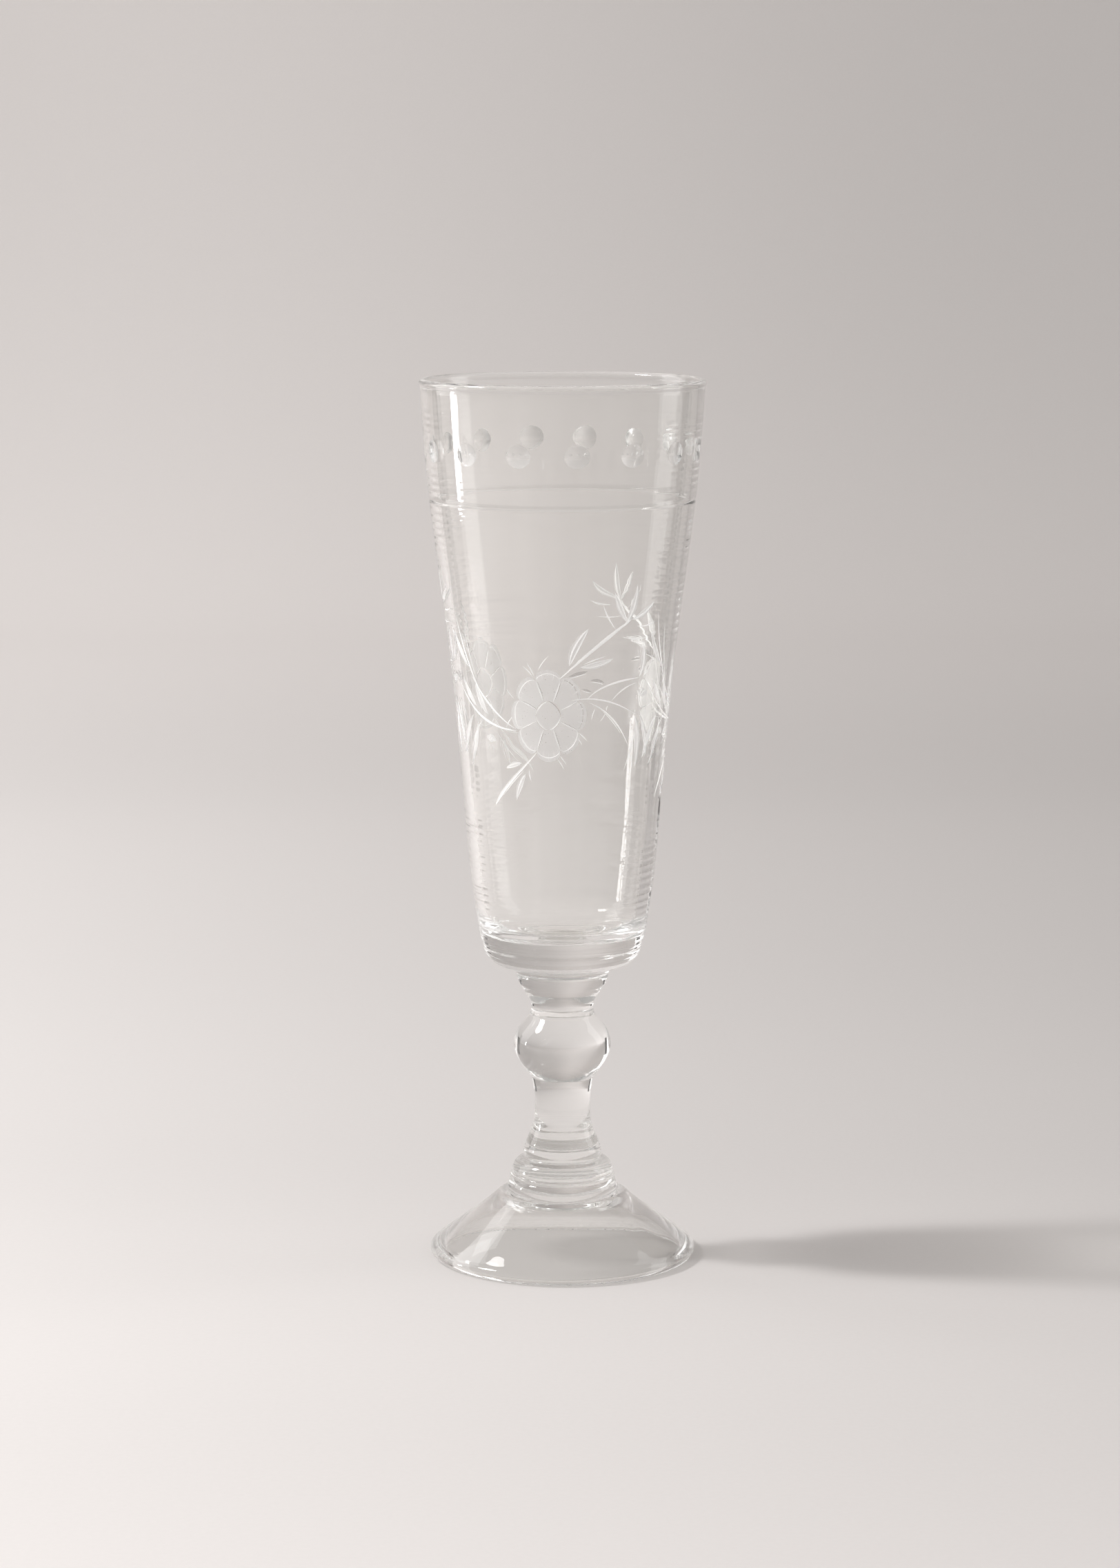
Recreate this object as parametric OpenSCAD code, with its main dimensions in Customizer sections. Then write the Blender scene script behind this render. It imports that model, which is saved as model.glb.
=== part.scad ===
// Footed champagne flute in clear glass: a tall tulip bowl on a thick base, a turned knop stem
// and a hollow conical foot.
// Z is up. The origin is the centre of the foot's resting ring, on the table. Millimetres.

/* [Overall] */
// Height of the rim above the table
overall_h = 184; // [176:0.5:196]
// Outside radius of the rim bead
rim_r = 29.5; // [28.6:0.1:31]
// Outside radius of the foot
foot_r = 27.8; // [26.5:0.1:30]

/* [Bowl] */
// Height of the joint between the bowl and the neck
bowl_joint_z = 60.2; // [59.9:0.1:60.6]
// Outside radius of the bowl at its joint with the neck
bowl_joint_r = 9.6; // [9.3:0.1:10]
// Height at which the bowl wall begins, above the rounded base
bowl_shoulder_z = 68; // [67.5:0.1:69]
// Outside radius at that shoulder
bowl_shoulder_r = 17.1; // [16.8:0.1:17.6]
// Height of the inside floor of the bowl
floor_z = 68.6; // [67.5:0.1:70]
// Radius of the inside corner between floor and wall
floor_corner_r = 6.5; // [4:0.5:7]
// Wall thickness just under the rim
wall_top = 1.5; // [1.2:0.05:1.7]
// Wall thickness just above the floor
wall_base = 2.1; // [1.6:0.05:2.6]
// Radius of the rounded rim bead
bead_r = 0.88; // [0.8:0.02:0.95]

/* [Cut decoration] */
// Number of round dots in the row under the rim
dot_count = 15; // [9:1:24]
// Height of the row of dots
dot_z = 169.9; // [166:0.5:174]
// Width of one dot
dot_w = 5.2; // [4:0.1:6]
// Height of one dot
dot_h = 4.7; // [4:0.1:6]
// Depth of a dot below the wall
dot_depth = 0.4; // [0.25:0.05:0.6]
// Angle of the first dot, from the +X axis
dot_turn = -84.1; // [-90:0.1:-66]
// Height of the cut line under the dots
line_z = 159.4; // [155:0.5:163]
// Width of the cut line
line_w = 0.7; // [0.4:0.1:1.2]
// Depth of the cut line
line_depth = 0.2; // [0.1:0.05:0.4]

/* [Stem] */
// Height of the joint between the neck and the knop
knop_top_z = 52; // [51.8:0.1:52.4]
// Radius of the thin disc at that joint
knop_top_r = 6.6; // [6.3:0.1:6.8]
// Widest radius of the knop
knop_r = 10.15; // [9.6:0.05:11]
// Height of the widest part of the knop
knop_mid_z = 45.4; // [45:0.1:46]
// Height of the joint between the knop and the shank
shank_top_z = 38; // [37.6:0.1:38.4]
// Radius at that joint
shank_top_r = 6.5; // [6.2:0.1:6.8]
// Narrowest radius of the waisted shank
waist_r = 5.8; // [5.2:0.05:6.1]
// Height of the joint between the shank and the collar
collar_top_z = 23.8; // [23.6:0.1:24.1]
// Radius of the flared lower end of the shank
shank_end_r = 7.65; // [7.4:0.05:7.8]

/* [Foot] */
// Height of the joint between the collar and the lower ring
ring_top_z = 16.6; // [16.4:0.1:16.9]
// Radius at that joint
ring_top_r = 10.8; // [10.6:0.1:11]
// Widest radius of the lower ring
ring_r = 11.5; // [11.3:0.1:11.7]
// Height of the joint between the lower ring and the foot
foot_top_z = 13.1; // [12.9:0.1:13.4]
// Thickness of the foot's rounded edge
foot_edge = 2.8; // [2.6:0.1:3.4]
// Inside radius of the foot where it meets the table
hollow_r = 24.9; // [24.4:0.1:25.2]
// Height of the roof of the hollow under the foot
hollow_z = 11.4; // [11:0.1:11.6]

/* [Output] */
// Which sub-part to draw, or all

/* [Hidden] */
glass_tint = [0.93, 0.95, 0.95, 0.35];

// Bowl wall: how far up the wall a station stands, and how much of the flare it has.
wall_h = overall_h - 2.4 - bowl_shoulder_z;
wall_flare = rim_r - 0.3 - bowl_shoulder_r;

// The dot cutter is a barrel on an upright axis, rounder upright than round.
dot_barrel_r = 1 / (8 * dot_depth / (dot_w * dot_w) - 1 / (rim_r - 1.2));
dot_round_r = dot_h * dot_h / (8 * dot_depth);
dot_half = dot_h * 0.7;

// One point of a cubic curve.
function bez_at(p, t) =
    pow(1 - t, 3) * p[0] + 3 * t * pow(1 - t, 2) * p[1] + 3 * t * t * (1 - t) * p[2] + pow(t, 3) * p[3];

// A cubic curve in n steps; skip leaves out that many points at its start.
function bez(p, n, skip = 0) = [for (i = [skip : n]) bez_at(p, i / n)];

// Part of a circle, from angle a0 to angle a1.
function arc(c, r, a0, a1, n, skip = 0) =
    [for (i = [skip : n]) let (a = a0 + (a1 - a0) * i / n) c + r * [cos(a), sin(a)]];

// A list turned end to end.
function turned(l) = [for (i = [len(l) - 1 : -1 : 0]) l[i]];

// A station on the wall, from its share of the wall's height and of its flare.
function station(up, out) = [bowl_shoulder_r + wall_flare * out, bowl_shoulder_z + wall_h * up];

// Outside of the bowl wall from the shoulder up to the bead: a tulip of two cubic curves.
wall_mid = station(0.370, 0.372);
wall_side = concat(
    bez([station(0, 0), station(0.131, 0.222), station(0.194, 0.2325), wall_mid], 14),
    bez([wall_mid, station(0.678, 0.617), station(0.713, 0.848), station(1, 1)], 18, 1)
);

// The same side as a height table.
wall_table = [for (q = wall_side) [q[1], q[0]]];
function wall_r(z) = lookup(z, wall_table);
function wall_t(z) = wall_base + (wall_top - wall_base) * (z - floor_z) / (overall_h - floor_z);

// Points of the wall above the inside corner, moved inward by the wall thickness.
corner_z = floor_z + floor_corner_r;
corner_r = wall_r(corner_z) - wall_t(corner_z);
wall_inside = [for (q = wall_side) if (q[1] > corner_z + 0.5) [q[0] - wall_t(q[1]), q[1]]];

// Points of the wall, with the cut line let in.
wall_cut = concat(
    [for (q = wall_side) if (q[1] < line_z - line_w / 2 - 0.2) q],
    [[wall_r(line_z - line_w / 2), line_z - line_w / 2]],
    [[wall_r(line_z) - line_depth, line_z]],
    [[wall_r(line_z + line_w / 2), line_z + line_w / 2]],
    [for (q = wall_side) if (q[1] > line_z + line_w / 2 + 0.2) q]
);

// Rounded underside of the solid base, from the joint out to the shoulder.
underside = concat(
    [[bowl_joint_r, bowl_joint_z], [bowl_joint_r + 0.05, bowl_joint_z + 0.3]],
    [[10.3, bowl_joint_z + 1.15], [11.5, bowl_joint_z + 1.6]],
    bez([[13.2, 62.3], [15, 63], [16.3, 64.4], [16.5, 66]], 8),
    [[16.62, 66.9]]
);

// Bowl: a blown cup with a thick solid base, a rounded rim, a row of dots and a cut line.
module bowl_body() {
    bead_c = [rim_r - bead_r, overall_h - bead_r];
    rotate_extrude()
    polygon(concat(
        [[0, bowl_joint_z]],
        underside,
        wall_cut,
        arc(bead_c, bead_r, -45, 90, 9),
        arc(bead_c, bead_r, 90, 176, 5, 1),
        turned(wall_inside),
        bez([
            [corner_r, corner_z],
            [corner_r - 0.25, corner_z - 0.6 * floor_corner_r],
            [corner_r - 0.45 * floor_corner_r, floor_z],
            [corner_r - floor_corner_r, floor_z]
        ], 8),
        [[0, floor_z]]
    ));
}

// Lens-shaped plug that cuts one dot: a barrel trimmed to a short round bar.
module dot_cutter() {
    intersection() {
        rotate_extrude()
        polygon(concat(
            [[0, -dot_half]],
            [for (i = [-4 : 4]) let (z = dot_half * i / 4) [dot_barrel_r - z * z / (2 * dot_round_r), z]],
            [[0, dot_half]]
        ));
        translate([-dot_barrel_r - 1, 0, 0])
        rotate([0, 90, 0])
        cylinder(r = dot_w * 0.62, h = 5);
    }
}

module bowl() {
    color(glass_tint)
    difference() {
        bowl_body();
        for (i = [0 : dot_count - 1])
            rotate([0, 0, dot_turn + 360 * i / dot_count])
            translate([wall_r(dot_z) + dot_barrel_r - dot_depth, 0, dot_z])
            rotate([0, 4.3, 0])
            dot_cutter();
    }
}

// Neck: a tapered collar under the bowl, with two soft ledges and a thin disc below.
module neck() {
    cone_top = [8.95, bowl_joint_z - 2.3];
    cone_end = [knop_top_r + 0.55, knop_top_z + 3.1];
    color(glass_tint)
    rotate_extrude()
    polygon(concat(
        [[0, knop_top_z], [knop_top_r, knop_top_z]],
        bez([
            [knop_top_r, knop_top_z],
            [knop_top_r - 0.2, knop_top_z + 0.9],
            [knop_top_r - 0.1, knop_top_z + 2],
            [knop_top_r + 0.3, knop_top_z + 2.75]
        ], 6, 1),
        bez([cone_end, [7.6, 55.9], [8.2, 56.9], cone_top], 6),
        bez([
            [9.12, bowl_joint_z - 1.9],
            [9.25, bowl_joint_z - 1.5],
            [9.55, bowl_joint_z - 1],
            [bowl_joint_r, bowl_joint_z - 0.35]
        ], 5),
        [[bowl_joint_r - 0.1, bowl_joint_z], [0, bowl_joint_z]]
    ));
}

// Knop: a ball swelling of the stem, domed above and nearly conical below.
module knop() {
    color(glass_tint)
    rotate_extrude()
    polygon(concat(
        [[0, shank_top_z], [shank_top_r, shank_top_z]],
        [[shank_top_r + 0.15, shank_top_z + 0.35]],
        bez([
            [7.45, shank_top_z + 1.3],
            [8.75, shank_top_z + 3.05],
            [knop_r + 0.1, knop_mid_z - 2.2],
            [knop_r, knop_mid_z]
        ], 10),
        bez([
            [knop_r, knop_mid_z],
            [knop_r - 0.1, knop_mid_z + 2.8],
            [7.7, knop_top_z - 1.9],
            [knop_top_r + 0.15, knop_top_z - 0.45]
        ], 10, 1),
        [[knop_top_r, knop_top_z], [0, knop_top_z]]
    ));
}

// Shank: a waisted lower stem that flares to the collar.
module shank() {
    waist_z = (shank_top_z + collar_top_z) / 2;
    color(glass_tint)
    rotate_extrude()
    polygon(concat(
        [[0, collar_top_z], [shank_end_r, collar_top_z]],
        bez([
            [shank_end_r, collar_top_z + 0.25],
            [7.35, collar_top_z + 1.6],
            [waist_r + 0.05, collar_top_z + 3.2],
            [waist_r, waist_z]
        ], 12),
        bez([
            [waist_r, waist_z],
            [waist_r - 0.03, waist_z + 2.6],
            [shank_top_r - 0.65, shank_top_z - 2.6],
            [shank_top_r - 0.2, shank_top_z - 0.8]
        ], 8, 1),
        [[shank_top_r, shank_top_z], [0, shank_top_z]]
    ));
}

// Collar: two narrow steps over a rounded shoulder ring, with a fine double line at its foot.
module collar() {
    color(glass_tint)
    rotate_extrude()
    polygon(concat(
        [[0, ring_top_z], [ring_top_r - 0.1, ring_top_z]],
        arc([ring_top_r - 0.35, ring_top_z + 0.55], 0.5, -60, 60, 5),
        [[ring_top_r - 0.3, ring_top_z + 1.15]],
        bez([
            [ring_top_r - 0.15, ring_top_z + 1.5],
            [ring_top_r - 0.35, ring_top_z + 2.7],
            [ring_top_r - 1, ring_top_z + 3.6],
            [9.05, ring_top_z + 3.95]
        ], 8),
        [[8.45, collar_top_z - 3], [8, collar_top_z - 2.65]],
        bez([
            [8.12, collar_top_z - 2],
            [8.25, collar_top_z - 1.4],
            [8.05, collar_top_z - 0.7],
            [shank_end_r + 0.1, collar_top_z - 0.2]
        ], 5),
        [[shank_end_r, collar_top_z], [0, collar_top_z]]
    ));
}

// Lower ring: a rounded disc that seats the collar on the foot.
module ring() {
    color(glass_tint)
    rotate_extrude()
    polygon(concat(
        [[0, foot_top_z], [ring_r - 0.25, foot_top_z]],
        bez([
            [ring_r - 0.05, foot_top_z + 0.3],
            [ring_r + 0.1, foot_top_z + 1.3],
            [ring_r - 0.05, foot_top_z + 2.6],
            [ring_top_r + 0.1, ring_top_z - 0.2]
        ], 8),
        [[ring_top_r - 0.1, ring_top_z], [0, ring_top_z]]
    ));
}

// Foot: a hollow cone with a rounded edge, a flat resting ring and a domed roof inside.
module foot() {
    edge_r = foot_edge / 2;
    edge_c = [foot_r - edge_r, edge_r + 0.05];
    slope = 38;
    outer_end = edge_c + edge_r * [cos(90 - slope), sin(90 - slope)];
    color(glass_tint)
    rotate_extrude()
    polygon(concat(
        [[0, foot_top_z], [0, hollow_z]],
        bez([[0, hollow_z], [4.5, hollow_z], [8.6, hollow_z], [10.7, hollow_z - 0.25]], 10, 1),
        bez([
            [11.4, hollow_z - 0.6],
            [15.2, hollow_z - 2.6],
            [21.2, hollow_z - 6.9],
            [hollow_r - 0.35, 1.1]
        ], 7),
        [[hollow_r - 0.05, 0.4], [hollow_r + 0.3, 0]],
        [[edge_c[0] - 0.3, 0]],
        arc(edge_c, edge_r, -75, 90 - slope, 8),
        bez([
            outer_end,
            outer_end + 4.6 * [-cos(slope), sin(slope)],
            [17.3, 9.7],
            [13.7, foot_top_z + 0.05]
        ], 10, 1),
        bez([
            [13.7, foot_top_z + 0.05],
            [12.8, foot_top_z + 0.8],
            [12.2, foot_top_z + 0.5],
            [ring_r + 0.1, foot_top_z + 0.1]
        ], 5, 1),
        [[ring_r - 0.25, foot_top_z]]
    ));
}

bowl();
neck();
knop();
shank();
collar();
ring();
foot();
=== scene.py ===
"""Cut and engraved champagne flute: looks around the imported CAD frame. Metres, +Z up, seen from -Y."""
import math

import bpy
import numpy as np
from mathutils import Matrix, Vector
from mathutils.geometry import delaunay_2d_cdt
from mathutils.kdtree import KDTree

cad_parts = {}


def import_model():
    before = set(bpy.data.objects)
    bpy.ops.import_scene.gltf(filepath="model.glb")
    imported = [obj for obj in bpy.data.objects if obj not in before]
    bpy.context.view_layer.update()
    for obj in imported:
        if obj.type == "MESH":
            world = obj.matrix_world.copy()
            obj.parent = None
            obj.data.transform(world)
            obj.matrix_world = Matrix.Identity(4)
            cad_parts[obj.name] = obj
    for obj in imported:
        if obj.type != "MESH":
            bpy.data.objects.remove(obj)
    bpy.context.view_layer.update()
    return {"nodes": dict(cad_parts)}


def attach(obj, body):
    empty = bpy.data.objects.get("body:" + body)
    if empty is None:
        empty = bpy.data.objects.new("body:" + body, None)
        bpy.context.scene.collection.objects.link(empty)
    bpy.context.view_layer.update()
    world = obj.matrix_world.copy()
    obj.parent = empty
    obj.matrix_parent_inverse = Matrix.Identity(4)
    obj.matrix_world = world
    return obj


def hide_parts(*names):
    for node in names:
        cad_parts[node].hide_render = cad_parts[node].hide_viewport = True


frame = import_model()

MM = 0.001
RNG = np.random.default_rng(7)

# Stacked gathers of glass from the table up; each is fused to the next.
STACK = ["foot", "ring", "collar", "shank", "knop", "neck", "bowl"]

AROUND = 240          # vertices round each ring
ROW = 0.45            # longest step along an outline, mm
BEND = 5.0            # most turn between two rows, degrees
CORNER = 24.0         # an outline bend sharper than this stays a crease, degrees

# Decoration, in mm and degrees. Azimuth 0 faces the camera and grows towards +X.
# Cut shapes are drawn on the wall unrolled at one radius: x along it, y up.
DOTS = 15
DOT_FIRST = 5.9
DOT_DRIFT = 2.0       # the hand-cut row closes up this much towards the back
DOT_Z = 169.9
DOT_SIZE = (5.2, 4.7)
DOT_DEPTH = 0.4
DOT_BAND = (164.0, 176.0)
DOT_SEAM = 124        # the ring vertex where the unrolled band starts, between two dots
FLOWERS = [(-7.5, 0.0, "all"), (108.0, 0.0, "not right"), (233.0, 2.0, "not left")]  # azimuth, rise, sides
FLOWER_Z = 117.3
FLOWER_BAND = (93.0, 149.0)
FLOWER_SEAM = 115
LINE_DEPTH = 0.09
LEAF_DEPTH = 0.14
PETAL_DEPTH = 0.3
PETALS = 8
FLOWER_SIZE = (7.7, 9.35)
HEART_SIZE = (2.6, 3.05)
GROUND_BELOW = 0.55   # the foot's resting edge is ground up to this height

PAST_RIM = 1e3        # rings from the rim inwards are put in order after the outer wall's
FLAT_ROW = 0.6        # row height of the mesh round the cuts, mm
CLEARANCE = 0.27      # its points stay this far from the cuts' own, mm
SMOOTHED = {"satin": 0.5, "dot": -0.5, "deep": 0.0}   # how far a cut's normals lean to the wall's

IOR = 1.5
THROWS_ASIDE = [      # height in mm, and how much lamp light each wall lets straight through there
    (0, 0.82), (10, 0.8), (13, 0.58), (28, 0.58), (34, 0.78),
    (46, 0.48), (66, 0.42), (80, 0.62), (92, 0.96), (184, 0.985),
]
# the paper's tone along its depth, painted to stand in for how the light falls off
PAPER_PAINTED_LIGHT = [(0.0, 0.88), (0.1, 0.78), (0.2, 0.675), (0.3, 0.66), (0.45, 0.69), (0.75, 0.89), (1.0, 0.8)]
PAPER_REACH = (-0.3, 1.7)   # where along Y those tones start and end, m
ROOM = (0.72, 0.42)   # the room's strength low down and at its ceiling
BOUNCES = 48
SEE_THROUGH = 64      # most transparent faces on one ray

LENS = 94.34          # mm, on a 36 mm sensor
CAMERA_AT = (-0.0005, -0.8438, 0.2293)
CAMERA_DOWN = 8.71    # degrees below level


# ---------------------------------------------------------------- outlines

def seam_path(node):
    """The turned outline of a CAD node, (r, z) in mm, walked along its seam with the solid on the left."""
    mesh = frame["nodes"][node].data
    seam = {}
    for v in mesh.vertices:
        if abs(v.co.y) < 1e-6 and v.co.x > -1e-6:
            seam[v.index] = (round(abs(v.co.x) / MM, 3), round(v.co.z / MM, 3))
    links = {}
    for e in mesh.edges:
        a, b = (seam.get(i) for i in e.vertices)
        if a and b and a != b:
            links.setdefault(a, set()).add(b)
            links.setdefault(b, set()).add(a)
    ends = [p for p in links if len(links[p]) == 1]
    here = min(ends, key=lambda p: p[1])
    path, last = [here], None
    while True:
        ahead = [p for p in links[here] if p != last]
        if not ahead:
            return np.array(path)
        last, here = here, ahead[0]
        path.append(here)


def straightened(path, least=0.12):
    """Drops points that lie on a straight run."""
    keep = [path[0]]
    for here, ahead in zip(path[1:-1], path[2:]):
        if turn(keep[-1], here, ahead) > least:
            keep.append(here)
    keep.append(path[-1])
    return np.array(keep)


def turn(a, b, c):
    """Degrees by which the way from a to c bends at b."""
    u, v = np.subtract(b, a), np.subtract(c, b)
    return abs(math.degrees(math.atan2(u[0] * v[1] - u[1] * v[0], u @ v)))


def smooth_run(points):
    """A curve through the points, without its last, with rows no further apart than ROW and BEND allow."""
    if len(points) < 3:
        n = max(1, math.ceil(np.hypot(*(points[1] - points[0])) / ROW))
        return [points[0] + (points[1] - points[0]) * i / n for i in range(n)]
    out = []
    for i in range(len(points) - 1):
        b, c = points[i], points[i + 1]
        a = points[i - 1] if i else 2 * b - c
        d = points[i + 2] if i + 2 < len(points) else 2 * c - b
        span = np.hypot(*(c - b))
        m0 = (c - a) * span / (np.hypot(*(b - a)) + span)
        m1 = (d - b) * span / (np.hypot(*(d - c)) + span)
        bend = turn(b, b + m0, b + m0 + m1)
        n = max(1, math.ceil(span / ROW), math.ceil(bend / BEND))
        for k in range(n):
            t = k / n
            h = [2 * t**3 - 3 * t**2 + 1, t**3 - 2 * t**2 + t, 3 * t**2 - 2 * t**3, t**3 - t**2]
            out.append(h[0] * b + h[1] * m0 + h[2] * c + h[3] * m1)
    return out


def melted(path, radius=0.09):
    """Rounds the creases of a dense outline a little, as fire-polished glass has them. The ends stay."""
    step = np.r_[0, np.cumsum(np.hypot(*np.diff(path, axis=0).T))]
    fine = np.linspace(0, step[-1], int(step[-1] / (radius / 3)) + 2)
    rz = np.c_[np.interp(fine, step, path[:, 0]), np.interp(fine, step, path[:, 1])]
    w = np.exp(-0.5 * (np.arange(-9, 10) / 3.0) ** 2)
    w /= w.sum()
    pad = np.vstack([2 * rz[0] - rz[9:0:-1], rz, 2 * rz[-1] - rz[-2:-11:-1]])
    soft = np.c_[np.convolve(pad[:, 0], w, "valid"), np.convolve(pad[:, 1], w, "valid")]
    soft[0], soft[-1] = path[0], path[-1]
    keep, last = [soft[0]], 0
    for i in range(1, len(soft) - 1):
        far = np.hypot(*(soft[i] - keep[-1]))
        if far > ROW or (far > 0.03 and turn(keep[-1], soft[last + 1], soft[i + 1]) > BEND):
            keep.append(soft[i])
            last = i
    keep.append(soft[-1])
    out = np.array(keep)
    out[:, 0] = np.maximum(out[:, 0], 0)
    return out


def outline(node):
    """A smooth, finely stepped outline of a CAD node, in mm."""
    path = straightened(seam_path(node))
    creases = [i for i in range(1, len(path) - 1) if turn(*path[i - 1:i + 2]) > CORNER]
    cuts = [0] + creases + [len(path) - 1]
    rows = []
    for a, b in zip(cuts[:-1], cuts[1:]):
        rows += smooth_run(path[a:b + 1])
    return melted(np.array(rows + [path[-1]]))


# ---------------------------------------------------------------- handmade unevenness

def waves(count, lengths, slow):
    """Random plane waves over the wall: (turns round the glass, cycles per mm of height, phase)."""
    out = []
    for _ in range(count):
        cycles = 1 / RNG.uniform(*lengths)
        out.append((RNG.integers(-slow, slow + 1), cycles, RNG.uniform(0, 2 * math.pi)))
    return out


RIPPLES = waves(7, (2.2, 6.5), 2)
SWELLS = waves(4, (14, 40), 3)
NOTCHES = waves(4, (1.2, 1.8), 2)
STREAKS = [
    (RNG.integers(9, 30), RNG.uniform(-0.004, 0.004), RNG.uniform(0, 2 * math.pi))
    for _ in range(7)
]


def unevenness(az, z, side):
    """How far the wall stands out at an azimuth and height, mm. side is 0 outside and 1 inside."""
    total = 0
    heights = [60, 66, 88, 97, 125, 135, 176, 180]
    notch = 0.011 * np.interp(z, heights, [0, 1, 1, 0.1, 0.1, 0.5, 0.5, 0]) * np.sin(az) ** 4
    for group, height in ((RIPPLES, 0.0009), (SWELLS, 0.005), (STREAKS, 0.0035), (NOTCHES, notch)):
        for turns, cycles, phase in group:
            total = total + height * np.sin(turns * az + 2 * math.pi * cycles * z + phase + side * 2.1)
    return total


def strength(z):
    """How much of the unevenness shows: most low on the bowl, and hardly any on the stem."""
    heights = [0, 1, 10, 20, 67.5, 71, 90, 150, 178, 182, 184]
    shares = [0, 0.5, 0.5, 0.1, 0.1, 1.4, 1.4, 1.0, 1.0, 0.3, 0.0]
    return np.interp(z, heights, shares)


def placed(r, z, az, side):
    """Points in metres from radius, height and azimuth, with the unevenness let in."""
    out = r + np.where(r > 2, 1, r / 2) * strength(z) * unevenness(az, z, side)
    return np.stack([out * np.sin(az), -out * np.cos(az), z + 0 * az], -1) * MM


# ---------------------------------------------------------------- cut shapes, in mm on the unrolled wall

def curve(ctrl, n):
    """n + 1 points on the Bezier curve of any number of control points."""
    t = np.linspace(0, 1, n + 1)[:, None]
    pts = [np.repeat(np.array([p], float), n + 1, 0) for p in ctrl]
    while len(pts) > 1:
        pts = [a + (b - a) * t for a, b in zip(pts[:-1], pts[1:])]
    return pts[0]


def blade(ctrl, width, kind="line", swell=0.5, depth=LINE_DEPTH):
    """A cut that tapers at both ends; swell is where along it it is widest."""
    length = np.hypot(*np.diff(curve(ctrl, 8), axis=0).T).sum()
    n = max(5, round(length / 0.7))
    spine = curve(ctrl, n)
    t = np.linspace(0, 1, n + 1)
    half = width / 2 * np.minimum(np.minimum(1, t / swell), np.minimum(1, (1 - t) / (1 - swell))) ** 0.6
    ahead = np.gradient(spine, axis=0)
    across = np.c_[-ahead[:, 1], ahead[:, 0]] / np.hypot(*ahead.T)[:, None]
    left, right = spine + across * half[:, None], spine - across * half[:, None]
    edge = np.vstack([spine[:1], right[1:-1], spine[-1:], left[-2:0:-1]])
    return {"kind": kind, "edge": edge, "spine": spine, "half": np.maximum(half, 0.01), "depth": depth}


def painted_dark_leaf(ctrl, width):
    """A small polished leaf whose darkness is painted shade, with a bright cut under it."""
    ctrl = np.array(ctrl, float)
    return [blade(ctrl, width, "deep", 0.5, LEAF_DEPTH), blade(ctrl - (0.1, width * 0.6), 0.2)]


def leaf(ctrl, width, swell=0.45):
    """A satin leaf between two bright cuts, with a fine vein."""
    body = blade(ctrl, width * 1.35, "satin", swell, LEAF_DEPTH)
    n = (len(body["edge"]) - 2) // 2
    right, left = body["edge"][:n + 2], np.roll(body["edge"], -n - 1, 0)[:n + 1]
    far = np.vstack([left, body["edge"][:1]])
    some = [0, n // 3, 2 * n // 3 + 1, n + 1]
    return [body, blade(right[some], 0.3), blade(far[some], 0.2), blade(ctrl, 0.14)]


def left_hand(edge):
    """The same closed outline, walked with its inside on the left."""
    x, y = edge.T
    return edge if np.roll(y, -1) @ x > np.roll(x, -1) @ y else edge[::-1]


def on_oval(size, angle):
    """The point of an oval at an angle from the top, in radians."""
    return np.array([size[0] * math.sin(angle), size[1] * math.cos(angle)])


def petal(k):
    """A satin scoop between bright cuts. Its rim is painted by where the light falls: bright on the side
    towards the light, and a dark cut, painted shade, on the side away from it.
    """
    start, mid, end = (2 * math.pi * (k + part) / PETALS for part in (-0.5, 0.0, 0.5))
    lo, hi = on_oval(FLOWER_SIZE, start) * 0.82, on_oval(FLOWER_SIZE, end) * 0.82
    root_lo, root_hi = on_oval(HEART_SIZE, start), on_oval(HEART_SIZE, end)
    crown, bulge = on_oval(FLOWER_SIZE, mid), on_oval(HEART_SIZE, mid)
    swell = (crown - (lo + hi) / 2) * 0.55
    rim = curve([lo, lo * 1.28 + swell, hi * 1.28 + swell, hi], 12)
    inner = curve([root_hi, bulge * 1.12, root_lo], 4)
    edge = left_hand(np.vstack([rim, inner]))
    # painted light: how much light falls on this side of the flower, from the left
    painted_light_share = 0.5 * (1 - math.sin(mid + 0.5))
    side = [root_lo * 0.97, (root_lo + lo) / 2 + 0.05 * (crown - lo), lo * 1.01]
    shapes = [
        {"kind": "satin", "edge": edge, "centre": (crown * 0.95 + bulge) / 2, "depth": PETAL_DEPTH},
        blade(rim[[0, 2, 6, 10, 12]], 0.16 + 0.14 * painted_light_share, "line" if painted_light_share > 0.25 else "deep"),
        blade(side, 0.24),
        # painted shade: a dark cut on the right of the side cut
        blade([p + (0.24, 0.05) for p in side], 0.17, "deep"),
    ]
    for i in range(4):
        q = rim[2 + 2 * i] * 0.985
        fine = [q, q * 0.9 + 0.03 * bulge, q * (0.82 - 0.03 * (i % 2))]
        shapes.append(blade(fine, 0.09, depth=0.03))
    return shapes


def flower_head():
    """Petals round an oval heart with a broken ring of cuts."""
    shapes = [shape for k in range(PETALS) for shape in petal(k)]
    a = np.linspace(0, 2 * math.pi, 29)[:-1]
    oval = np.c_[HEART_SIZE[0] * np.sin(a), HEART_SIZE[1] * np.cos(a)]
    edge = left_hand(oval * 0.93)
    shapes.append({"kind": "satin", "edge": edge, "centre": np.zeros(2), "depth": PETAL_DEPTH * 0.8})
    for k in range(4):
        arc = oval[[(7 * k + i) % 28 for i in (0, 2, 5, 7)]]
        # painted shade: the first arc, on the upper right of the heart, is a dark cut
        shapes.append(blade(arc, 0.22, "deep" if k == 0 else "line"))
    return shapes


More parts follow.
